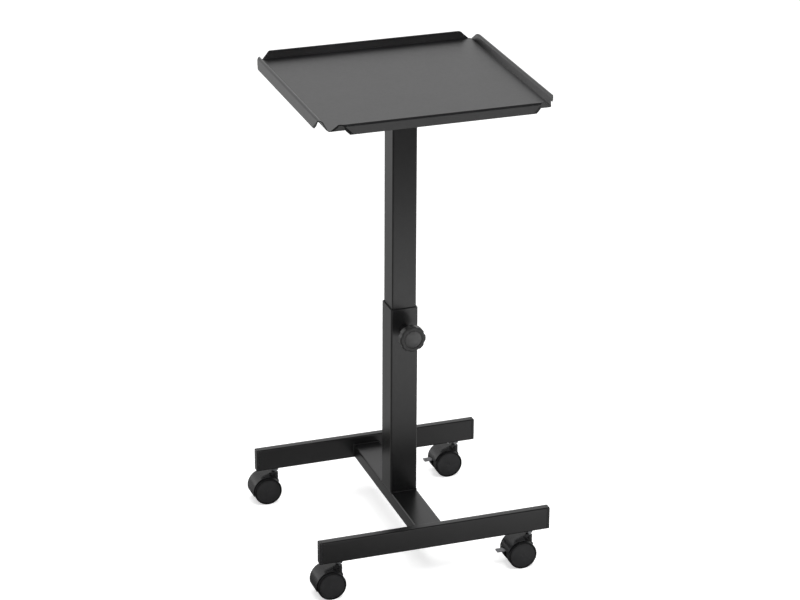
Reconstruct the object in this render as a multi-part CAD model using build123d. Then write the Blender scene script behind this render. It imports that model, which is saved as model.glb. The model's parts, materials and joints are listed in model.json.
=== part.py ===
"""Portable projector stand: a folded steel tray on a telescoping square column, over a wheeled H base."""
import os
from math import cos, radians, sin

from build123d import *

# Fits shared by the pieces
running_clearance = 0.05
seat_clearance = 0.02
loose_clearance = 0.3

# Square column
lower_tube_width = 50.0
lower_tube_length = 357.5
lower_tube_wall = 2.0
lower_tube_corner = 3.0
slide_clearance = 0.5
upper_tube_wall = 2.0
upper_tube_corner = 2.5
upper_tube_shown = 408.0
upper_tube_overlap = 130.0

# Cross bars, spine and end caps
bar_length = 428.0
bar_height = 42.0
bar_depth = 15.0
bar_wall = 1.5
bar_corner = 2.5
bar_spacing = 382.0
spine_height = 25.0
spine_lift = 1.0
spine_wall = 1.5
spine_corner = 3.0
cap_head = 6.0
cap_plug = 14.0
cap_plug_wall = 2.0
cap_edge = 1.5
cap_seam = 0.4

# Folded tray and the plate under it
tray_width = 391.0
tray_depth = 388.0
tray_forward = 8.4
tray_sheet = 1.5
tray_corner = 4.0
lip_length = 10.0
lip_lean = 22.5
rim_radius = 4.5
flange_lean = 13.0
flange_length = 13.5
corner_relief = 4.0
bracket_side = 120.0
bracket_thick = 4.0

# Clamp knob
knob_drop = 39.5
knob_diameter = 47.5
knob_head = 14.0
knob_lobes = 8
knob_scallop = 12.0
knob_scallop_depth = 1.3
knob_front_edge = 3.0
knob_back_edge = 1.5
knob_dome_diameter = 30.0
knob_dome_rise = 4.5
knob_groove = 1.5
knob_groove_depth = 1.2
knob_hub_diameter = 20.0
knob_hub = 13.0
knob_standoff = 20.0
stud_diameter = 10.0
stud_seat = 22.0
stud_tip_gap = 0.4
nut_flats = 17.0
nut_thick = 8.0

# Casters
caster_inset = 36.5
caster_trail = 19.25
wheel_diameter = 52.0
wheel_width = 16.5
wheel_edge = 1.5
wheel_face_rim = 2.2
wheel_face_depth = 1.0
wheel_face_slope = 1.0
wheel_dimple_radius = 2.5
wheel_dimple_depth = 0.6
wheel_web = 3.0
wheel_hub_radius = 8.0
wheel_tread = 4.0
wheel_pocket = 8.0
wheel_side_gap = 1.25
axle_diameter = 6.0
axle_end_gap = 1.0
hood_web = 12.0
hood_clearance = 0.7
hood_wall = 1.3
hood_width = 39.0
hood_edge = 0.6
hood_start = 60.0
hood_end = 196.0
hood_shoulder = 15.0
hood_step = 2.0
hood_boss_radius = 9.0
crown_radius = 1.5
crown_rise = 4.0
crown_setback = 1.0
crown_gap = 0.6
neck_radius = 6.25
neck_rise = 27.5
neck_length = 23.0
neck_floor = 2.0
stem_diameter = 8.0
stem_end_gap = 1.0
stem_gap = 6.0
stem_flats = 13.0
stem_hex = 3.0
stem_thread = 14.0

# Foot brakes on the right-hand casters
brake_hood_end = 163.0
brake_pivot_back = 14.0
brake_pivot_rise = 2.0
brake_pin_diameter = 4.0
brake_hub_radius = 4.0
brake_lug = 1.5
brake_arm = 7.0
brake_side_gap = 0.75
brake_slot_room = 1.5
brake_reach = 42.0
brake_pedal_length = 14.0
brake_pedal_width = 12.0
brake_pedal_thick = 2.0
brake_pedal_rise = 4.2

# Levels and fits that follow from the sizes above
axle_height = wheel_diameter / 2
neck_top = axle_height + neck_rise
bar_underside = neck_top + stem_gap + stem_hex
spine_underside = bar_underside + spine_lift
spine_top = spine_underside + spine_height
rim_height = spine_top + lower_tube_length
upper_tube_width = lower_tube_width - 2 * lower_tube_wall - 2 * slide_clearance
upper_tube_top = rim_height + upper_tube_shown
plate_top = upper_tube_top + bracket_thick + tray_sheet
knob_height = rim_height - knob_drop
tube_front = -lower_tube_width / 2
wheel_inner_face = hood_web / 2 + wheel_side_gap
wheel_bore_depth = wheel_width - wheel_web
hood_inner = wheel_diameter / 2 + hood_clearance
hood_radius = hood_inner + hood_wall
swivel_x = bar_length / 2 - caster_inset
brake_pivot_x = -caster_trail - brake_pivot_back
brake_pivot_z = axle_height + brake_pivot_rise


def box_tube(width, depth, length, wall, corner):
    """Hollow rectangular tube that stands on the XY plane."""
    outer = RectangleRounded(width, depth, corner)
    inner_corner = max(corner - wall, 0.2)
    inner = RectangleRounded(width - 2 * wall, depth - 2 * wall, inner_corner)
    return extrude(outer - inner, length)


def cylinder_y(radius, length, x=0.0, y=0.0, z=0.0):
    """Round bar along Y, centred on the given point."""
    return Pos(x, y, z) * Rot(90, 0, 0) * Cylinder(radius, length)


def side_hull(width, *circles):
    """Plate square to Y, its outline stretched round circles given as x, z and radius."""
    edges = []
    for x, z, radius in circles:
        edges += (Pos(x, z) * Circle(radius)).edges()
    return extrude(Plane.XZ * make_hull(edges), width / 2, both=True)


def cross_bar(y):
    """Flat tube on edge, with a hole under each end for a caster's stem."""
    tube_length = bar_length - 2 * cap_head
    tube = box_tube(bar_height, bar_depth, tube_length, bar_wall, bar_corner)
    bar = Pos(-tube_length / 2, y, bar_underside + bar_height / 2) * Rot(0, 90, 0) * tube
    for side in (-1, 1):
        hole = Cylinder(stem_diameter / 2 + seat_clearance, 4 * bar_wall)
        bar -= Pos(side * swivel_x, y, bar_underside) * hole
    return bar


def end_cap(side, y):
    """Plastic plug with a rounded head that closes one end of a cross bar."""
    head = extrude(RectangleRounded(bar_height, bar_depth, bar_corner), cap_head)
    head = fillet(head.faces().sort_by(Axis.Z)[-1].edges(), cap_edge)
    head = chamfer(head.faces().sort_by(Axis.Z)[0].edges(), cap_seam)
    plug_height = bar_height - 2 * bar_wall - 2 * loose_clearance
    plug_depth = bar_depth - 2 * bar_wall - 2 * loose_clearance
    plug = RectangleRounded(plug_height, plug_depth, bar_corner)
    hollow = RectangleRounded(plug_height - 2 * cap_plug_wall, plug_depth - 2 * cap_plug_wall, cap_plug_wall / 2)
    cap = head + extrude(plug - hollow, -cap_plug)
    placed = Pos(bar_length / 2 - cap_head, 0, bar_underside + bar_height / 2) * Rot(0, 90, 0) * cap
    if side < 0:
        placed = Rot(0, 0, 180) * placed
    return Pos(0, y, 0) * placed


def spine_bar():
    """Flat tube that lies between the cross bars and carries the column."""
    length = bar_spacing - bar_depth
    tube = box_tube(lower_tube_width, spine_height, length, spine_wall, spine_corner)
    return Pos(0, length / 2, spine_underside + spine_height / 2) * Rot(90, 0, 0) * tube


def lower_tube():
    """Fixed half of the column, with the clamp screw's hole near its rim."""
    tube = box_tube(lower_tube_width, lower_tube_width, lower_tube_length, lower_tube_wall, lower_tube_corner)
    tube = Pos(0, 0, spine_top) * tube
    hole = cylinder_y(stud_diameter / 2 + loose_clearance, 4 * lower_tube_wall, 0, tube_front, knob_height)
    return tube - hole


def clamp_nut():
    """Hexagon nut welded over the clamp screw's hole."""
    hexagon = RegularPolygon(nut_flats / 2, 6, major_radius=False)
    bore = Circle(stud_diameter / 2 + running_clearance)
    return Pos(0, tube_front, knob_height) * Rot(90, 0, 0) * extrude(hexagon - bore, nut_thick)


def upper_tube():
    """Sliding half of the column."""
    length = upper_tube_shown + upper_tube_overlap
    tube = box_tube(upper_tube_width, upper_tube_width, length, upper_tube_wall, upper_tube_corner)
    return Pos(0, 0, rim_height - upper_tube_overlap) * tube


def tray_bracket():
    """Square plate on top of the column, under the tray."""
    plate = extrude(RectangleRounded(bracket_side, bracket_side, tray_corner), bracket_thick)
    return Pos(0, 0, upper_tube_top) * plate


def rim_points():
    """Points of the rim's section: fold, end of lip, top of bend, end of bend and edge, outward and up."""
    lip = Vector(sin(radians(lip_lean)), cos(radians(lip_lean)))
    lip_normal = Vector(-cos(radians(lip_lean)), sin(radians(lip_lean)))
    flange = Vector(sin(radians(flange_lean)), -cos(radians(flange_lean)))
    flange_normal = Vector(cos(radians(flange_lean)), sin(radians(flange_lean)))
    top_normal = (lip_normal + flange_normal).normalized()
    lip_end = lip * lip_length
    centre = lip_end - lip_normal * rim_radius
    skin = [Vector(0, 0), lip_end, centre + top_normal * rim_radius, centre + flange_normal * rim_radius]
    skin.append(skin[3] + flange * flange_length)
    inner_radius = rim_radius - tray_sheet
    back = [lip_normal * -tray_sheet, lip_end - lip_normal * tray_sheet, centre + top_normal * inner_radius]
    back.append(centre + flange_normal * inner_radius)
    back.append(back[3] + flange * flange_length)
    return skin, back


def rim_section():
    """Section of the folded rim as a face in the XY plane, X outward and Y up."""
    skin, back = rim_points()
    fold_low = Vector(0, -tray_sheet)
    fold_mid = (back[0] + fold_low).normalized() * tray_sheet
    edges = [
        Line(skin[0], skin[1]),
        ThreePointArc(skin[1], skin[2], skin[3]),
        Line(skin[3], skin[4]),
        Line(skin[4], back[4]),
        Line(back[4], back[3]),
        ThreePointArc(back[3], back[2], back[1]),
        Line(back[1], back[0]),
        ThreePointArc(back[0], fold_mid, fold_low),
        Line(fold_low, skin[0]),
    ]
    return make_face(edges)


def rim_side(fold_length):
    """One folded side, its ends cut at 45 degrees in the flat sheet, along Y with +X outward."""
    skin, back = rim_points()
    bend_turn = radians(180 - lip_lean - flange_lean)
    flat = [0.0, lip_length, lip_length + bend_turn * rim_radius]
    flat.append(flat[2] + flange_length)
    outward = [skin[0].X, skin[1].X, skin[3].X, skin[4].X]
    half = fold_length / 2 - corner_relief
    right = [(o, half - s) for o, s in zip(outward, flat)]
    left = [(o, -y) for o, y in reversed(right)]
    tail = 2 * tray_sheet
    plan = Polygon(*right, (outward[3] + tail, right[3][1]), (outward[3] + tail, left[0][1]), *left, align=None)
    keep = extrude(plan, 2 * (lip_length + flange_length), both=True)
    strip = Rot(90, 0, 0) * extrude(rim_section(), fold_length / 2, both=True)
    return strip & keep


def tray():
    """Flat plate with its four sides folded up, over and down again."""
    plate = extrude(RectangleRounded(tray_width, tray_depth, tray_corner), -tray_sheet)
    body = plate
    for turn, half_width, length in (
        (0, tray_width / 2, tray_depth),
        (90, tray_depth / 2, tray_width),
        (180, tray_width / 2, tray_depth),
        (270, tray_depth / 2, tray_width),
    ):
        body += Rot(0, 0, turn) * Pos(half_width, 0, 0) * rim_side(length)
    return Pos(0, -tray_forward, plate_top) * body


def clamp_knob():
    """Lobed knob with a grooved, domed front and a hub behind, facing the front."""
    radius = knob_diameter / 2
    outline = Circle(radius)
    for i in range(knob_lobes):
        scallop = Circle(knob_scallop)
        reach = radius + knob_scallop - knob_scallop_depth
        outline -= Rot(0, 0, (i + 0.5) * 360 / knob_lobes) * Pos(reach, 0) * scallop
    head = extrude(outline, knob_head)
    head = fillet(head.faces().sort_by(Axis.Z)[-1].outer_wire().edges(), knob_front_edge)
    head = fillet(head.faces().sort_by(Axis.Z)[0].outer_wire().edges(), knob_back_edge)
    half = knob_dome_diameter / 2
    groove = Circle(half + knob_groove) - Circle(half)
    head -= Pos(0, 0, knob_head) * extrude(groove, -knob_groove_depth)
    ball_radius = (half * half + knob_dome_rise * knob_dome_rise) / (2 * knob_dome_rise)
    ball = Pos(0, 0, knob_head + knob_dome_rise - ball_radius) * Sphere(ball_radius)
    cap = extrude(Circle(half), knob_head + 2 * knob_dome_rise) & ball
    hub = extrude(Circle(knob_hub_diameter / 2), -knob_hub)
    bore = Pos(0, 0, -knob_hub) * extrude(Circle(stud_diameter / 2 + seat_clearance), stud_seat)
    knob = head + cap + hub - bore
    return Pos(0, tube_front - knob_standoff - knob_hub, knob_height) * Rot(90, 0, 0) * knob


def clamp_stud():
    """Screw that the knob turns; its tip bears on the sliding tube."""
    tip = -upper_tube_width / 2 - stud_tip_gap
    tail = tube_front - knob_standoff - stud_seat
    return cylinder_y(stud_diameter / 2, tip - tail, 0, (tip + tail) / 2, knob_height)


def caster_stem():
    """Fixed steel stem on which a caster swivels, with its hexagon under the bar."""
    low = neck_top - neck_length + neck_floor + stem_end_gap
    hexagon = extrude(RegularPolygon(stem_flats / 2, 6, major_radius=False), stem_hex)
    shaft = extrude(Circle(stem_diameter / 2), bar_underside + stem_thread - low)
    return Pos(0, 0, low) * shaft + Pos(0, 0, bar_underside - stem_hex) * hexagon


def sector(start, end, reach, width):
    """Wedge about the wheel axis between two angles, used to trim the hood."""
    steps = 6
    points = [(0.0, 0.0)]
    for i in range(steps + 1):
        angle = radians(start + (end - start) * i / steps)
        points.append((reach * cos(angle), reach * sin(angle)))
    wedge = extrude(Plane.XZ * Polygon(*points, align=None), width / 2, both=True)
    return Pos(-caster_trail, 0, axle_height) * wedge


def hood_shell(end):
    """Shell over the wheels: round behind, with shoulders from which a narrow crown rises to the stem."""
    drum = (-caster_trail, axle_height, hood_radius)
    crown = (-crown_setback - crown_radius, neck_top + crown_rise - crown_radius, crown_radius)
    shell = side_hull(hood_width, drum, crown)
    sides = shell.faces().filter_by(Plane.XZ)
    shell = fillet([edge for side in sides for edge in side.edges()], hood_edge)
    half = hood_width / 2
    back = -caster_trail - 2 * hood_radius
    narrow = -hood_shoulder + hood_step
    right = [(back, -half), (-hood_shoulder, -half), (narrow, -neck_radius), (0, -neck_radius)]
    left = [(x, -y) for x, y in reversed(right)]
    shell &= extrude(Polygon(*right, *left, align=None), 2 * (neck_top + crown_rise))
    shell &= sector(hood_start, end, 4 * hood_radius, 2 * hood_width)
    for side in (-1, 1):
        room = hood_width
        shell -= cylinder_y(hood_inner, room, -caster_trail, side * (hood_web + room) / 2, axle_height)
    return shell


def caster_hood(braked):
    """Moulded hood over both wheels, with the web that holds the axle and the swivel neck."""
    boss = (-caster_trail, axle_height, hood_boss_radius)
    foot = (0, neck_top - neck_length + neck_radius, neck_radius)
    head = (-neck_radius, neck_top - neck_radius, neck_radius / 2)
    hood = hood_shell(brake_hood_end if braked else hood_end) + side_hull(hood_web, boss, foot, head)
    hood += Pos(0, 0, neck_top - neck_length) * extrude(Circle(neck_radius), neck_length)
    socket = Circle(stem_diameter / 2 + running_clearance)
    hood -= Pos(0, 0, neck_top) * extrude(socket, neck_floor - neck_length)
    hood -= Pos(0, 0, neck_top) * extrude(Circle(stem_diameter / 2 + crown_gap), 2 * crown_rise)
    if braked:
        lug = (brake_pivot_x, brake_pivot_z, brake_hub_radius + brake_slot_room + brake_lug)
        hood += side_hull(hood_web, boss, lug)
        hood -= brake_slot()
        pin_radius = brake_pin_diameter / 2 + seat_clearance
        hood -= cylinder_y(pin_radius, 2 * hood_web, brake_pivot_x, 0, brake_pivot_z)
    hood -= cylinder_y(axle_diameter / 2 + seat_clearance, 2 * hood_web, -caster_trail, 0, axle_height)
    return hood


def brake_slot():
    """Slot between the hood's cheeks that the brake lever swings in, open behind and below the shell's end."""
    room = brake_hub_radius + brake_slot_room
    top = axle_height + hood_inner * sin(radians(brake_hood_end))
    width = brake_arm + 2 * brake_side_gap
    slot = Box(2 * hood_radius, width, 2 * hood_radius, align=(Align.MAX, Align.CENTER, Align.MAX))
    return Pos(brake_pivot_x + room, 0, top) * slot


def brake_lever():
    """Foot lever with a flat pedal, on a pin between the wheels."""
    pedal_low = axle_height + brake_pedal_rise
    pedal_start = -caster_trail - brake_reach
    hub = (brake_pivot_x, brake_pivot_z, brake_hub_radius)
    knee_radius = brake_pedal_thick / 2
    knee = (pedal_start + brake_pedal_length, pedal_low + knee_radius, knee_radius)
    arm = side_hull(brake_arm, hub, knee)
    pedal = Box(
        brake_pedal_length, brake_pedal_width, brake_pedal_thick, align=(Align.MIN, Align.CENTER, Align.MIN)
    )
    pedal = fillet(pedal.edges().filter_by(Axis.Z), brake_pedal_thick / 2)
    lever = arm + Pos(pedal_start, 0, pedal_low) * pedal
    bore = cylinder_y(brake_pin_diameter / 2 + running_clearance, 2 * brake_arm, brake_pivot_x, 0, brake_pivot_z)
    return lever - bore


def brake_pin():
    """Steel pin across the hood's slot."""
    return cylinder_y(brake_pin_diameter / 2, hood_web, brake_pivot_x, 0, brake_pivot_z)


def caster_axle():
    """Steel axle that carries both wheels."""
    half = wheel_inner_face + wheel_bore_depth - axle_end_gap
    return cylinder_y(axle_diameter / 2, 2 * half, -caster_trail, 0, axle_height)


def caster_wheel(side):
    """Plastic wheel with a rimmed outer face and a pocket on its inner face; side is -1 near, 1 far."""
    radius = wheel_diameter / 2
    wheel = extrude(Circle(radius), wheel_width)
    wheel = fillet(wheel.edges().filter_by(GeomType.CIRCLE), wheel_edge)
    face_radius = radius - wheel_face_rim
    face = Pos(0, 0, wheel_width) * Cone(
        face_radius - wheel_face_slope, face_radius, wheel_face_depth, align=(Align.CENTER, Align.CENTER, Align.MAX)
    )
    face += Pos(0, 0, wheel_width - wheel_face_depth) * extrude(Circle(wheel_dimple_radius), -wheel_dimple_depth)
    pocket = extrude(Circle(radius - wheel_tread) - Circle(wheel_hub_radius), wheel_pocket)
    bore = extrude(Circle(axle_diameter / 2 + running_clearance), wheel_bore_depth)
    wheel = wheel - face - pocket - bore
    return Pos(-caster_trail, side * wheel_inner_face, axle_height) * Rot(-90 * side, 0, 0) * wheel


front_y = -bar_spacing / 2
rear_y = bar_spacing / 2

pieces = {
    "front_cross_bar": cross_bar(front_y),
    "rear_cross_bar": cross_bar(rear_y),
    "spine_bar": spine_bar(),
    "lower_tube": lower_tube(),
    "clamp_nut": clamp_nut(),
    "upper_tube": upper_tube(),
    "tray_bracket": tray_bracket(),
    "tray": tray(),
    "clamp_knob": clamp_knob(),
    "clamp_stud": clamp_stud(),
}

corners = {
    "front_left": (-1, front_y),
    "front_right": (1, front_y),
    "rear_left": (-1, rear_y),
    "rear_right": (1, rear_y),
}
for corner, (side, y) in corners.items():
    braked = side > 0
    place = Pos(side * swivel_x, y, 0)
    pieces[corner + "_cap"] = end_cap(side, y)
    pieces[corner + "_stem"] = place * caster_stem()
    pieces[corner + "_hood"] = place * caster_hood(braked)
    pieces[corner + "_axle"] = place * caster_axle()
    pieces[corner + "_wheel_near"] = place * caster_wheel(-1)
    pieces[corner + "_wheel_far"] = place * caster_wheel(1)
    if braked:
        pieces[corner + "_brake"] = place * brake_lever()
        pieces[corner + "_brake_pin"] = place * brake_pin()

# The frame's origin is on the floor, under the middle of the whole stand
bounds = Compound(list(pieces.values())).bounding_box()
middle = bounds.center()
to_frame = Pos(-middle.X, -middle.Y, -bounds.min.Z)

os.makedirs("parts", exist_ok=True)
for name, solid in pieces.items():
    export_step(to_frame * solid, "parts/" + name + ".step")
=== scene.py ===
"""Portable projector stand: finishes, fine detail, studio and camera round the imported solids."""

import json
import math

import bmesh
import bpy
from mathutils import Matrix, Vector


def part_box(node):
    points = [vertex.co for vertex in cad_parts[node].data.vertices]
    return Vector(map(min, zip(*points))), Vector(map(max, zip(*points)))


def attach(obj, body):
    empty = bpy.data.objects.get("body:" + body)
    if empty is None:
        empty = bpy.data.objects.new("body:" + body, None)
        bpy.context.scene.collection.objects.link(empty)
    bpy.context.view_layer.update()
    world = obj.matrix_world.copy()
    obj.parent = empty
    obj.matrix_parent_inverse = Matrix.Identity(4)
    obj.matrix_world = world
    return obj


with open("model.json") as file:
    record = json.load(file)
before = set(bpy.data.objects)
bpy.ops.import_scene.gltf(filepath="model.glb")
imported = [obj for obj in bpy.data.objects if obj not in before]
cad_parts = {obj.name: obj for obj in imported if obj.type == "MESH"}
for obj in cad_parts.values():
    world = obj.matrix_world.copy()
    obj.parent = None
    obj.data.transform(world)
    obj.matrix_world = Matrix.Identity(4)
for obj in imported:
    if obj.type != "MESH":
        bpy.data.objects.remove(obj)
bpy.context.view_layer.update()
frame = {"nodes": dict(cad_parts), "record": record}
nodes = frame["nodes"]

# Camera at the photograph's viewing angle
image_width = 800
sensor_width = 36.0
focal_pixels = 2881.2
view_azimuth = -19.32
view_elevation = 23.16
view_roll = 0.287
view_distance = 5.0728
view_depth = 100.0
aim_height = 0.453

# Levels between which most of a noise lies, where it drives gloss and where it drives colour
gloss_levels = (0.3, 0.7)
colour_levels = (0.35, 0.65)
blue_tint = 1.05

# Cap in the knob's front: its radius and the width of its edge as shares of the knob's width, and greys; the
# cap's lighter grey is partly its own tone and partly a painted highlight for the dome's sheen
cap_share = 0.318
cap_edge = 0.01
cap_grey_and_painted_highlight = 0.065
knob_grey = 0.024

# Fillet welds
weld_leg = 0.0024
weld_bulge = 0.57
weld_sink = 0.0002
weld_pitch = 0.0016
weld_ripple = 0.05
weld_taper = 0.4

# Thread of the clamp screw
thread_pitch = 0.0015
thread_half_width = 0.45 * thread_pitch
thread_height = 0.0003
thread_sink = 0.0002
thread_steps = 24

# Nuts that hold the tray's plate, with their washers and the ends of their bolts
nut_inset = 0.015
nut_flats = 0.008
nut_end = 0.005
nut_chamfer = 0.0006
nut_rounding = 1.03
nut_segments = 24
washer_radius = 0.0055
washer_thickness = 0.001
washer_sink = 0.0002
washer_bevel_width = 0.0003
washer_bevel_height = 0.0002
bolt_radius = 0.0025
bolt_end = 0.0068
bolt_fillet = 0.0002
bolt_chamfer_width = 0.0005
bolt_chamfer_height = 0.0004

# Grip ribs on the brake pedals
rib_count = 3
rib_pitch = 0.0025
rib_first = 0.0025
rib_radius = 0.0006
rib_margin = 0.0015
rib_segments = 8

# Domes in the recessed outer faces of the wheels; the crease is an angle in degrees
dome_rim = 0.0034
recess_depth = 0.001
dome_top = 0.0001
dome_edge = 0.0004
dome_sink = 0.00005
dimple_radius = 0.003
dimple_depth = 0.0005
dome_steps = 24
dome_segments = 72
dome_crease = 30

# Floor: its size, its grey, and its glow from close to the stand to far away
floor_size = 40.0
floor_grey = 0.8
floor_roughness = 0.9
glow_reach = (1.2, 5.0)
glow_levels = (0.6, 0.76)

# Painted light in reflections: brightness of the mirrored floor in bands from front to back, by metres
# behind the column, with a painted pool of light in front and dimmer bands round it
band_reach = 4.0
floor_bands = (
    (-4.0, 0.05), (-1.72, 0.05), (-1.48, 0.18), (-1.296, 0.85), (-1.224, 1.0), (-0.84, 1.0), (-0.68, 0.7),
    (-0.48, 0.6), (-0.32, 0.34), (0.0, 0.45), (0.32, 0.36), (1.2, 0.37), (1.92, 0.43), (3.44, 0.8),
)

# Painted shade in the mirrored floor: two darker parts to the front left, a painted shadow under the stand
# and painted contact shadows round the wheels; where each sets in, and the share of light that it leaves
corner_across = (0.25, -0.15)
corner_behind = (0.1, -0.2)
corner_share = 0.4
side_across = (-0.3, -0.9)
side_behind = (-0.05, -0.35)
side_share = 0.3
under_middle = (-0.1, 0.0, 0.0)
under_reach = (0.1, 0.4)
under_share = 0.5
wheel_reach = (0.025, 0.11)
wheel_share = 0.2

# Brightness of the mirrored surroundings, from the horizon behind (0) over the top to the one in front (1)
sky_bands = (
    (0.0, 0.95), (0.06, 0.95), (0.12, 0.63), (0.19, 0.63),
    (0.3, 0.23), (0.42, 0.04), (0.905, 0.04), (0.955, 1.0),
)

# Left side, side walls and patch overhead in the mirrored surroundings, and the light that matt surfaces get
left_span = (-0.6, -0.9)
left_share = 0.2
wall_span = (0.35, 0.75)
wall_level = 0.5
overhead_span = (0.965, 0.99)
overhead_level = 0.45
matt_level = 0.35


def new_material(name):
    """Empty node material with a principled shader; returns the material, its tree and the shader."""
    material = bpy.data.materials.new(name)
    material.use_nodes = True
    tree = material.node_tree
    return material, tree, tree.nodes["Principled BSDF"]


def coordinates(tree, kind):
    """Texture coordinates of one kind."""
    return tree.nodes.new("ShaderNodeTexCoord").outputs[kind]


def axes(tree, vector):
    """The three numbers of a vector, by the names X, Y and Z."""
    node = tree.nodes.new("ShaderNodeSeparateXYZ")
    tree.links.new(vector, node.inputs["Vector"])
    return node.outputs


def noise(tree, scale, detail=2.0, roughness=0.5):
    """Noise in the object's own coordinates, so that it moves with its piece."""
    node = tree.nodes.new("ShaderNodeTexNoise")
    node.inputs["Scale"].default_value = scale
    node.inputs["Detail"].default_value = detail
    node.inputs["Roughness"].default_value = roughness
    tree.links.new(coordinates(tree, "Object"), node.inputs["Vector"])
    return node.outputs["Fac"]


def ramp(tree, source, stops):
    """Colour ramp over a value; each stop is a position and a colour."""
    node = tree.nodes.new("ShaderNodeValToRGB")
    elements = node.color_ramp.elements
    while len(elements) < len(stops):
        elements.new(0.5)
    for element, (position, colour) in zip(elements, stops):
        element.position = position
        element.color = (*colour, 1.0)
    tree.links.new(source, node.inputs["Fac"])
    return node.outputs["Color"]


def grey_stops(*pairs):
    """Ramp stops from positions and grey levels."""
    return [(position, (level, level, level)) for position, level in pairs]


def spread(tree, source, span, levels):
    """Map a value from a span to two levels, held at its ends."""
    node = tree.nodes.new("ShaderNodeMapRange")
    node.inputs["From Min"].default_value = span[0]
    node.inputs["From Max"].default_value = span[1]
    node.inputs["To Min"].default_value = levels[0]
    node.inputs["To Max"].default_value = levels[1]
    tree.links.new(source, node.inputs["Value"])
    return node.outputs["Result"]


def combine(tree, operation, first, second):
    """Math node over two values; the second may be a plain number."""
    node = tree.nodes.new("ShaderNodeMath")
    node.operation = operation
    tree.links.new(first, node.inputs[0])
    if isinstance(second, float):
        node.inputs[1].default_value = second
    else:
        tree.links.new(second, node.inputs[1])
    return node.outputs["Value"]


def vector_math(tree, operation, vector, fixed=(0.0, 0.0, 0.0)):
    """Vector math over a vector and a fixed one; a distance comes out as a number."""
    node = tree.nodes.new("ShaderNodeVectorMath")
    node.operation = operation
    node.inputs[1].default_value = fixed
    tree.links.new(vector, node.inputs[0])
    return node.outputs["Value" if operation == "DISTANCE" else "Vector"]


def add_bump(tree, shader, height, strength, distance):
    """Raise the surface by a height value, in metres."""
    bump = tree.nodes.new("ShaderNodeBump")
    bump.inputs["Strength"].default_value = strength
    bump.inputs["Distance"].default_value = distance
    tree.links.new(height, bump.inputs["Height"])
    tree.links.new(bump.outputs["Normal"], shader.inputs["Normal"])


def clouded(tree, dark, light, scale):
    """Neutral colour that drifts between two levels in soft clouds."""
    colours = [(grey, grey, grey * blue_tint) for grey in (dark, light)]
    stops = list(zip(colour_levels, colours))
    return ramp(tree, noise(tree, scale, detail=3.0), stops)


def grained_finish(name, roughness, patch_scale, index, grain_scale, grain_strength, grain_height=0.00008):
    """Surface with uneven gloss and a fine raised grain, its colour still to be set."""
    material, tree, shader = new_material(name)
    patches = noise(tree, patch_scale, detail=4.0, roughness=0.6)
    tree.links.new(spread(tree, patches, gloss_levels, roughness), shader.inputs["Roughness"])
    shader.inputs["IOR"].default_value = index
    add_bump(tree, shader, noise(tree, grain_scale, detail=3.0), grain_strength, grain_height)
    return material, tree, shader


def powder_coat():
    """Satin black powder coat with a fine orange-peel surface."""
    material, tree, shader = grained_finish(
        "black_powder_coat",
        roughness=(0.28, 0.32),
        patch_scale=160.0,
        index=1.82,
        grain_scale=900.0,
        grain_strength=0.06,
        grain_height=0.0001,
    )
    tree.links.new(clouded(tree, dark=0.005, light=0.007, scale=14.0), shader.inputs["Base Color"])
    return material


def moulded_plastic():
    """Black moulded plastic with a fine spark-eroded grain."""
    material, tree, shader = grained_finish(
        "black_moulded_plastic",
        roughness=(0.19, 0.27),
        patch_scale=160.0,
        index=1.55,
        grain_scale=2600.0,
        grain_strength=0.2,
    )
    tree.links.new(clouded(tree, dark=0.014, light=0.02, scale=40.0), shader.inputs["Base Color"])
    return material


def knob_plastic():
    """Plastic of the knob, with a lighter cap let into its front: partly a cap of its own tone, partly a
    painted highlight on the dome.
    """
    material, tree, shader = grained_finish(
        "black_knob_plastic",
        roughness=(0.3, 0.38),
        patch_scale=160.0,
        index=1.55,
        grain_scale=2600.0,
        grain_strength=0.15,
    )
    across = vector_math(tree, "MULTIPLY", coordinates(tree, "Generated"), (1.0, 0.0, 1.0))
    reach = vector_math(tree, "DISTANCE", across, (0.5, 0.0, 0.5))
    # The cap's lighter grey is partly painted highlight, standing in for the dome's sheen
    stops = grey_stops((cap_share, cap_grey_and_painted_highlight), (cap_share + cap_edge, knob_grey))
    tree.links.new(ramp(tree, reach, stops), shader.inputs["Base Color"])
    return material


def wheel_plastic(name, index, dark, light):
    """Harder black plastic of the wheels, slightly scuffed."""
    material, tree, shader = grained_finish(
        name,
        roughness=(0.34, 0.5),
        patch_scale=220.0,
        index=index,
        grain_scale=1800.0,
        grain_strength=0.15,
    )
    tree.links.new(clouded(tree, dark, light, scale=55.0), shader.inputs["Base Color"])
    return material


def pedal_plastic():
    """Grey plastic of the brake pedals."""
    material, tree, shader = grained_finish(
        "grey_pedal_plastic",
        roughness=(0.26, 0.36),
        patch_scale=200.0,
        index=1.55,
        grain_scale=2600.0,
        grain_strength=0.15,
    )
    tree.links.new(clouded(tree, dark=0.16, light=0.19, scale=60.0), shader.inputs["Base Color"])
    return material


def zinc_steel():
    """Dull zinc-plated steel of pins, stems and the clamp screw."""
    material, tree, shader = new_material("zinc_plated_steel")
    cloud = noise(tree, scale=300.0, detail=3.0)
    stops = list(zip(colour_levels, ((0.34, 0.35, 0.365), (0.46, 0.47, 0.485))))
    tree.links.new(ramp(tree, cloud, stops), shader.inputs["Base Color"])
    tree.links.new(spread(tree, cloud, gloss_levels, (0.3, 0.45)), shader.inputs["Roughness"])
    shader.inputs["Metallic"].default_value = 1.0
    add_bump(tree, shader, noise(tree, scale=2500.0), strength=0.08, distance=0.00005)
    return material


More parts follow.
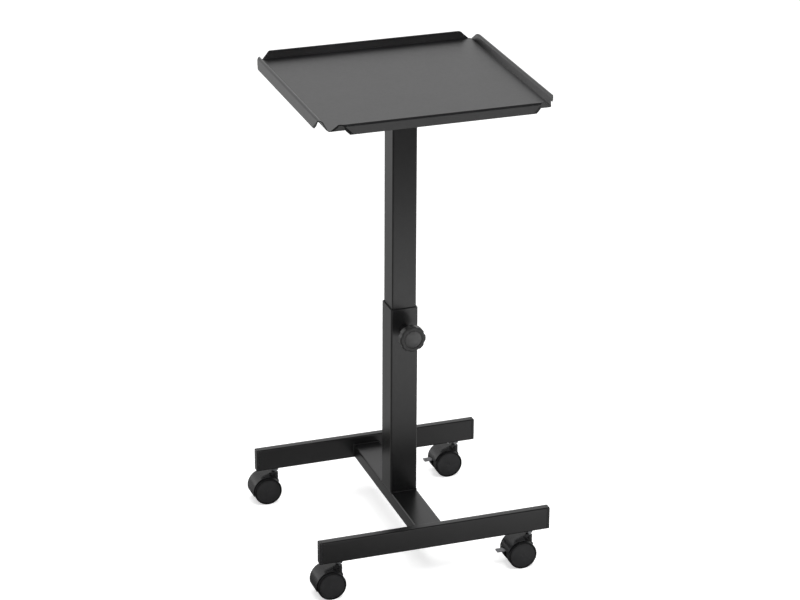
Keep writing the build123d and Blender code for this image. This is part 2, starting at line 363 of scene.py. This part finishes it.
def dress_nodes():
    """Give each CAD node the finish of its material slot; returns the finishes by slot."""
    finishes = {
        "black_coat": powder_coat(),
        "black_plastic": moulded_plastic(),
        "wheel_plastic": wheel_plastic("black_tread_plastic", index=1.4, dark=0.005, light=0.008),
        "zinc_steel": zinc_steel(),
    }
    pedal = pedal_plastic()
    own = {"clamp_knob": knob_plastic(), "front_right_brake": pedal, "rear_right_brake": pedal}
    slots = {part["node"]: part["material_slot"] for part in frame["record"]["subparts"]}
    for name, piece in nodes.items():
        piece.data.materials.clear()
        piece.data.materials.append(own.get(name, finishes[slots[name]]))
    return finishes


def turns(count):
    """Equal steps round a full circle, in radians."""
    return [2 * math.pi * i / count for i in range(count)]


def ring_about_y(x, y, z, radius, count):
    """Points of a circle round an axis along Y."""
    return [(x + radius * math.cos(turn), y, z + radius * math.sin(turn)) for turn in turns(count)]


def loft(rings):
    """Closed mesh through rings of points, each ring with the same number of points."""
    bm = bmesh.new()
    loops = [[bm.verts.new(point) for point in ring] for ring in rings]
    for near, far in zip(loops, loops[1:]):
        for i in range(len(near)):
            j = (i + 1) % len(near)
            bm.faces.new((near[i], near[j], far[j], far[i]))
    bm.faces.new(loops[0][::-1])
    bm.faces.new(loops[-1])
    bmesh.ops.recalc_face_normals(bm, faces=bm.faces)
    return bm


def add_piece(name, bm, body, finish, smooth=True):
    """Turn a mesh into a named piece that rides on a body, with a given finish."""
    mesh = bpy.data.meshes.new(name)
    bm.to_mesh(mesh)
    bm.free()
    for face in mesh.polygons:
        face.use_smooth = smooth
    mesh.materials.append(finish)
    piece = bpy.data.objects.new(name, mesh)
    bpy.context.scene.collection.objects.link(piece)
    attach(piece, body)
    return piece


def weld_bead(start, end, first, second):
    """Rippled fillet weld along a corner; first and second point out of its two faces."""
    run = end - start
    count = 2 * round(run.length / weld_pitch)
    rings = []
    for i in range(count + 1):
        size = weld_leg * (1 + weld_ripple * (-1) ** i)
        if i in (0, count):
            size *= weld_taper
        corner = start + run * (i / count)
        section = (
            (-weld_sink, -weld_sink),
            (size, -weld_sink),
            (size * weld_bulge, size * weld_bulge),
            (-weld_sink, size),
        )
        rings.append([corner + first * a + second * b for a, b in section])
    return loft(rings)


def spine_welds(coat):
    """Welds that join the spine to both cross bars, on its top and its sides."""
    low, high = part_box("spine_bar")
    up = Vector((0, 0, 1))
    for end, y, inward in (("front", low.y, 1), ("rear", high.y, -1)):
        off_bar = Vector((0, inward, 0))
        runs = {
            "top": (Vector((low.x, y, high.z)), Vector((high.x, y, high.z)), up),
            "left": (Vector((low.x, y, low.z)), Vector((low.x, y, high.z)), Vector((-1, 0, 0))),
            "right": (Vector((high.x, y, low.z)), Vector((high.x, y, high.z)), Vector((1, 0, 0))),
        }
        for side, (start, stop, off_spine) in runs.items():
            bead = weld_bead(start, stop, off_bar, off_spine)
            add_piece("weld_spine_" + end + "_" + side, bead, "base", coat)


def column_welds(coat):
    """Welds across the spine in front of the column and behind it, and round the top under the plate."""
    up = Vector((0, 0, 1))
    low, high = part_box("lower_tube")
    for side, y, out in (("front", low.y, -1), ("rear", high.y, 1)):
        bead = weld_bead(Vector((low.x, y, low.z)), Vector((high.x, y, low.z)), Vector((0, out, 0)), up)
        add_piece("weld_column_" + side, bead, "base", coat)
    low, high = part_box("upper_tube")
    corners = (
        Vector((low.x, low.y, high.z)),
        Vector((high.x, low.y, high.z)),
        Vector((high.x, high.y, high.z)),
        Vector((low.x, high.y, high.z)),
    )
    for i, start in enumerate(corners):
        stop = corners[(i + 1) % len(corners)]
        out = (stop - start).normalized().cross(up)
        add_piece("weld_plate_" + str(i + 1), weld_bead(start, stop, out, -up), "column", coat)


def screw_thread(zinc):
    """Thread of the clamp screw where it shows between the nut and the knob's hub."""
    low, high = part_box("clamp_stud")
    radius = (high.x - low.x) / 2
    axis = (low + high) / 2
    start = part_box("clamp_knob")[1].y + thread_half_width
    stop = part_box("clamp_nut")[0].y - thread_half_width
    section = (
        (radius - thread_sink, -thread_half_width),
        (radius + thread_height, 0.0),
        (radius - thread_sink, thread_half_width),
    )
    rings = []
    for i in range(round((stop - start) / thread_pitch * thread_steps) + 1):
        turn = 2 * math.pi * i / thread_steps
        along = start + thread_pitch * i / thread_steps
        out = Vector((math.cos(turn), 0, math.sin(turn)))
        rings.append([Vector((axis.x, along + y, axis.z)) + out * r for r, y in section])
    add_piece("clamp_screw_thread", loft(rings), "knob", zinc, smooth=False)


def nut_profile():
    """Radii round the axis and the drop below the plate, from the washer down to the bolt's end."""
    apothem = nut_flats / 2
    flats = [apothem / math.cos((turn % (math.pi / 3)) - math.pi / 6) for turn in turns(nut_segments)]
    rounded = [min(flat, apothem * nut_rounding) for flat in flats]

    def circle(radius):
        return [radius] * nut_segments

    return (
        (circle(washer_radius), -washer_sink),
        (circle(washer_radius), washer_thickness - washer_bevel_height),
        (circle(washer_radius - washer_bevel_width), washer_thickness),
        (flats, washer_thickness),
        (flats, nut_end - nut_chamfer),
        (rounded, nut_end),
        (circle(bolt_radius + bolt_fillet), nut_end),
        (circle(bolt_radius), nut_end + bolt_fillet),
        (circle(bolt_radius), bolt_end - bolt_chamfer_height),
        (circle(bolt_radius - bolt_chamfer_width), bolt_end),
    )


def plate_nuts(zinc):
    """Four nuts with washers under the plate that carries the tray."""
    low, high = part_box("tray_bracket")
    sides = (low.x + nut_inset, high.x - nut_inset)
    ends = (low.y + nut_inset, high.y - nut_inset)
    places = [(x, y) for x in sides for y in ends]
    for number, (x, y) in enumerate(places, 1):
        rings = []
        for radii, drop in nut_profile():
            ring = zip(turns(nut_segments), radii)
            rings.append([(x + r * math.cos(t), y + r * math.sin(t), low.z - drop) for t, r in ring])
        add_piece("tray_nut_" + str(number), loft(rings), "column", zinc, smooth=False)


def pedal_ribs():
    """Raised ribs across each brake pedal, near its free end."""
    for side in ("front_right", "rear_right"):
        low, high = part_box(side + "_brake")
        finish = nodes[side + "_brake"].data.materials[0]
        for number in range(rib_count):
            x = low.x + rib_first + number * rib_pitch
            ends = (low.y + rib_margin, high.y - rib_margin)
            rings = [ring_about_y(x, y, high.z, rib_radius, rib_segments) for y in ends]
            name = side + "_pedal_rib_" + str(number + 1)
            add_piece(name, loft(rings), side + "_brake", finish)


def dome_section(edge):
    """Radii of a wheel's dome and their depths below the rim, from its hidden foot to its dimple."""
    section = [(edge, recess_depth + dome_sink)]
    for i in range(dome_steps):
        radius = edge * (1 - i / dome_steps)
        fall = (recess_depth - dome_edge - dome_top) * (radius / edge) ** 2
        dimple = dimple_depth * max(0.0, 1 - radius / dimple_radius)
        section.append((radius, dome_top + fall + dimple))
    return section


def wheel_faces():
    """Shallow dome with a faint dimple, let into the recessed outer face of each wheel."""
    finish = wheel_plastic("black_wheel_face_plastic", index=1.5, dark=0.019, light=0.025)
    for name in [node for node in nodes if "_wheel_" in node]:
        low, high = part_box(name)
        middle = (low + high) / 2
        rim_y, inward = (low.y, 1) if name.endswith("near") else (high.y, -1)
        rings = []
        for radius, depth in dome_section((high.x - low.x) / 2 - dome_rim):
            y = rim_y + inward * depth
            rings.append(ring_about_y(middle.x, y, middle.z, radius, dome_segments))
        piece = add_piece(name + "_face", loft(rings), name, finish)
        piece.data.set_sharp_from_angle(angle=math.radians(dome_crease))


def choose(tree, flag, when_off, when_on):
    """One of two values by a ray flag; each may be a plain number or a node's output."""
    node = tree.nodes.new("ShaderNodeMapRange")
    tree.links.new(flag, node.inputs["Value"])
    for name, value in (("To Min", when_off), ("To Max", when_on)):
        if isinstance(value, float):
            node.inputs[name].default_value = value
        else:
            tree.links.new(value, node.inputs[name])
    return node.outputs["Result"]


def ray_flags(tree):
    """Flags for rays that see the plain white background, and for reflections."""
    path = tree.nodes.new("ShaderNodeLightPath")
    plain = combine(tree, "MAXIMUM", path.outputs["Is Camera Ray"], path.outputs["Is Transmission Ray"])
    return plain, path.outputs["Is Glossy Ray"]


def quarter_shade(tree, spot, across, behind, share):
    """Painted shade: darkening of the mirrored floor past a line across and a line behind."""
    past_across = spread(tree, spot["X"], across, (0.0, 1.0))
    past_behind = spread(tree, spot["Y"], behind, (0.0, 1.0))
    past_both = combine(tree, "MULTIPLY", past_across, past_behind)
    return spread(tree, past_both, (0.0, 1.0), (1.0, share))


def wheel_shade(tree, place):
    """Painted contact shadow: darkening of the mirrored floor close round each of the four pairs of wheels.
    """
    front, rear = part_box("front_left_axle"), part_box("rear_right_axle")
    near = (front[0] + front[1]) / 2
    far = (rear[0] + rear[1]) / 2
    middle = (near + far) / 2
    half = (far - near) / 2
    offset = vector_math(tree, "SUBTRACT", place, (middle.x, middle.y, 0.0))
    folded = vector_math(tree, "ABSOLUTE", offset)
    reach = vector_math(tree, "DISTANCE", folded, (half.x, half.y, 0.0))
    return spread(tree, reach, wheel_reach, (wheel_share, 1.0))


def painted_floor_reflection(tree, place, reach):
    """Painted reflection of the floor: brightness in bands from front to back, with painted shade in darker
    parts.
    """
    spot = axes(tree, place)
    stops = grey_stops(*[(0.5 + behind / (2 * band_reach), level) for behind, level in floor_bands])
    bright = ramp(tree, spread(tree, spot["Y"], (-band_reach, band_reach), (0.0, 1.0)), stops)
    shades = (
        quarter_shade(tree, spot, corner_across, corner_behind, corner_share),
        quarter_shade(tree, spot, side_across, side_behind, side_share),
        # Painted shadow of the stand on the floor under it, as reflections see it
        spread(tree, reach, under_reach, (under_share, 1.0)),
        wheel_shade(tree, place),
    )
    for shade in shades:
        bright = combine(tree, "MULTIPLY", bright, shade)
    return bright


def studio_floor():
    """White floor with the stand's shadow; reflections see a painted floor instead, with painted shade under
    the stand and to its front left.
    """
    bpy.ops.mesh.primitive_plane_add(size=floor_size, location=(0.0, 0.0, 0.0))
    floor = bpy.context.object
    floor.name = "studio_floor"
    material, tree, shader = new_material("white_floor")
    plain, glossy = ray_flags(tree)
    place = coordinates(tree, "Object")
    reach = vector_math(tree, "DISTANCE", place, under_middle)
    shader.inputs["Base Color"].default_value = (floor_grey, floor_grey, floor_grey, 1.0)
    shader.inputs["Roughness"].default_value = floor_roughness
    shader.inputs["Specular IOR Level"].default_value = 0.0
    shader.inputs["Emission Color"].default_value = (1.0, 1.0, 1.0, 1.0)
    glow = combine(tree, "MULTIPLY", plain, spread(tree, reach, glow_reach, glow_levels))
    tree.links.new(glow, shader.inputs["Emission Strength"])
    # Reflections see this painted glow of light and shade in place of the lit floor
    mirrored = tree.nodes.new("ShaderNodeEmission")
    tree.links.new(painted_floor_reflection(tree, place, reach), mirrored.inputs["Strength"])
    mix = tree.nodes.new("ShaderNodeMixShader")
    tree.links.new(glossy, mix.inputs["Fac"])
    tree.links.new(shader.outputs["BSDF"], mix.inputs[1])
    tree.links.new(mirrored.outputs["Emission"], mix.inputs[2])
    tree.links.new(mix.outputs["Shader"], tree.nodes["Material Output"].inputs["Surface"])
    floor.data.materials.append(material)


def mirrored_surroundings(tree):
    """Brightness of the surroundings in reflections: bright behind and in front, dim above."""
    heading = axes(tree, coordinates(tree, "Generated"))
    sweep = combine(tree, "ARCTAN2", heading["Z"], heading["Y"])
    bright = ramp(tree, spread(tree, sweep, (0.0, math.pi), (0.0, 1.0)), grey_stops(*sky_bands))
    bright = combine(tree, "MULTIPLY", bright, spread(tree, heading["X"], left_span, (1.0, left_share)))
    sideways = combine(tree, "POWER", heading["X"], 2.0)
    bright = combine(tree, "MAXIMUM", bright, spread(tree, sideways, wall_span, (0.0, wall_level)))
    overhead = spread(tree, heading["Z"], overhead_span, (0.0, overhead_level))
    return combine(tree, "MAXIMUM", bright, overhead)


def studio_world():
    """White surroundings, plain to the camera and uneven in reflections."""
    world = bpy.data.worlds.new("studio")
    bpy.context.scene.world = world
    world.use_nodes = True
    tree = world.node_tree
    background = tree.nodes["Background"]
    background.inputs["Color"].default_value = (1.0, 1.0, 1.0, 1.0)
    plain, glossy = ray_flags(tree)
    unseen = choose(tree, glossy, matt_level, mirrored_surroundings(tree))
    tree.links.new(choose(tree, plain, unseen, 1.0), background.inputs["Strength"])


def soft_light(name, place, target, size, power):
    """Square soft box that faces a point; neither the camera nor reflections show it."""
    data = bpy.data.lights.new(name, "AREA")
    data.shape = "SQUARE"
    data.size = size
    data.energy = power
    lamp = bpy.data.objects.new(name, data)
    lamp.location = place
    aim = Vector(target) - Vector(place)
    lamp.rotation_euler = aim.to_track_quat("-Z", "Y").to_euler()
    lamp.visible_camera = False
    lamp.visible_glossy = False
    bpy.context.scene.collection.objects.link(lamp)


def studio_lights():
    """Large soft box overhead, a fill in front and a small box to the front right."""
    soft_light(
        "overhead_soft_box",
        place=(-0.2, 0.5, 3.0),
        target=(0.0, 0.0, 0.4),
        size=2.6,
        power=55.0,
    )
    soft_light(
        "front_fill",
        place=(0.2, -1.1, 1.9),
        target=(0.0, 0.0, 0.3),
        size=0.8,
        power=20.0,
    )
    soft_light(
        "right_soft_box",
        place=(1.9, -1.95, 1.7),
        target=(0.0, 0.0, 0.4),
        size=0.9,
        power=12.0,
    )


def photo_camera():
    """Camera in front of the stand, to its left and above."""
    azimuth = math.radians(view_azimuth)
    elevation = math.radians(view_elevation)
    roll = math.radians(view_roll)
    back = Vector((
        math.sin(azimuth) * math.cos(elevation),
        -math.cos(azimuth) * math.cos(elevation),
        math.sin(elevation),
    ))
    level = Vector((math.cos(azimuth), math.sin(azimuth), 0.0))
    rise = back.cross(level)
    right = level * math.cos(roll) + rise * math.sin(roll)
    up = rise * math.cos(roll) - level * math.sin(roll)
    low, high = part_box("lower_tube")
    aim = Vector(((low.x + high.x) / 2, (low.y + high.y) / 2, aim_height))
    data = bpy.data.cameras.new("photo_camera")
    data.sensor_width = sensor_width
    data.lens = focal_pixels / image_width * sensor_width
    data.clip_end = view_depth
    camera = bpy.data.objects.new("photo_camera", data)
    turn = Matrix((right, up, back)).transposed().to_4x4()
    camera.matrix_world = Matrix.Translation(aim + back * view_distance) @ turn
    bpy.context.scene.collection.objects.link(camera)
    bpy.context.scene.camera = camera


all_finishes = dress_nodes()
spine_welds(all_finishes["black_coat"])
column_welds(all_finishes["black_coat"])
screw_thread(all_finishes["zinc_steel"])
plate_nuts(all_finishes["zinc_steel"])
pedal_ribs()
wheel_faces()
studio_floor()
studio_world()
studio_lights()
photo_camera()
bpy.context.scene.view_settings.view_transform = "Standard"
